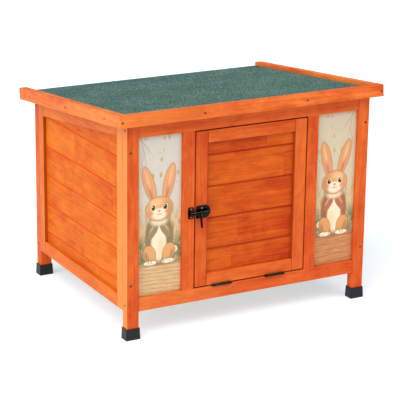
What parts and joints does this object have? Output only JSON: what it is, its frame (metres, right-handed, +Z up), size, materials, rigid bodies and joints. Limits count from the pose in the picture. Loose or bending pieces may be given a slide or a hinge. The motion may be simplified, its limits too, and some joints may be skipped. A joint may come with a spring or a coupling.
{
  "type": "rabbit hutch",
  "caption": "Small raised rabbit hutch of stained wood with a low pitched felt roof that lifts, boarded sides, and a front door that drops on its bottom edge.",
  "frame": {"origin": "on the floor under the middle of the whole hutch's box, roof included", "axes": "+X to the hutch's right seen from the front, along its length; +Y to its back; +Z up"},
  "size_m": [0.657, 0.5399, 0.5087],
  "materials": {
    "frame_wood": "satin",
    "board_wood": "satin",
    "plain_wood": "matt",
    "roof_felt": "rough mineral granules",
    "foot_plastic": "matt",
    "black_steel": "gloss",
    "dark_screw": "satin",
    "brass_screw": "satin",
    "left_picture_panel": "printed, satin",
    "right_picture_panel": "printed, satin"
  },
  "bodies": {
    "hutch": {"back_boards": "board_wood", "back_bottom_rail": "frame_wood", "back_left_foot_cap": "foot_plastic", "back_left_leg": "frame_wood", "back_right_foot_cap": "foot_plastic", "back_right_leg": "frame_wood", "back_stiles": "frame_wood", "back_top_rail": "frame_wood", "bolt_keeper": "black_steel", "bolt_keeper_screws": "brass_screw", "door_hinge_frame_leaves": "black_steel", "door_hinge_frame_screws": "dark_screw", "door_hinge_pins": "black_steel", "floor_battens": "plain_wood", "floor_panel": "plain_wood", "front_bottom_rail": "frame_wood", "front_left_foot_cap": "foot_plastic", "front_left_leg": "frame_wood", "front_right_foot_cap": "foot_plastic", "front_right_leg": "frame_wood", "front_top_rail": "frame_wood", "left_mid_stile": "frame_wood", "left_picture_panel": "left_picture_panel", "left_side_boards": "board_wood", "left_side_bottom_rail": "frame_wood", "left_side_stiles": "frame_wood", "left_side_top_rail": "frame_wood", "leg_screws": "dark_screw", "right_mid_stile": "frame_wood", "right_picture_panel": "right_picture_panel", "right_side_boards": "board_wood", "right_side_bottom_rail": "frame_wood", "right_side_stiles": "frame_wood", "right_side_top_rail": "frame_wood", "roof_hinge_frame_leaves": "black_steel", "roof_hinge_frame_screws": "dark_screw", "roof_hinge_pins": "black_steel"},
    "door": {"bolt_plate": "black_steel", "bolt_plate_screws": "brass_screw", "door_boards": "board_wood", "door_bottom_rail": "frame_wood", "door_hinge_door_leaves": "black_steel", "door_hinge_door_screws": "dark_screw", "door_left_stile": "frame_wood", "door_right_stile": "frame_wood", "door_top_rail": "frame_wood"},
    "bolt_rod": {"bolt_rod": "black_steel"},
    "bolt_handle": {"bolt_handle": "black_steel"},
    "roof": {"roof_battens": "plain_wood", "roof_deck_boards": "plain_wood", "roof_felt": "roof_felt", "roof_front_trim": "frame_wood", "roof_left_trim": "frame_wood", "roof_right_trim": "frame_wood", "roof_trim_screws": "dark_screw", "roof_hinge_roof_leaves": "black_steel", "roof_hinge_roof_screws": "dark_screw"}
  },
  "joints": [
    {"name": "door_swing", "type": "hinge", "parent": "hutch", "child": "door", "pos_m": [0, -0.25374, 0.0945], "axis": [1, 0, 0], "range_deg": [0, 104]},
    {"name": "bolt_slide", "type": "slide", "parent": "door", "child": "bolt_rod", "axis": [-1, 0, 0], "range_m": [-0.0035, 0.003]},
    {"name": "bolt_turn", "type": "hinge", "parent": "bolt_rod", "child": "bolt_handle", "pos_m": [-0.13, -0.25814, 0.2685], "axis": [-1, 0, 0], "range_deg": [0, 100]},
    {"name": "roof_lift", "type": "hinge", "parent": "hutch", "child": "roof", "pos_m": [0, 0.23966, 0.43194], "axis": [-1, 0, 0], "range_deg": [0, 80]}
  ]
}
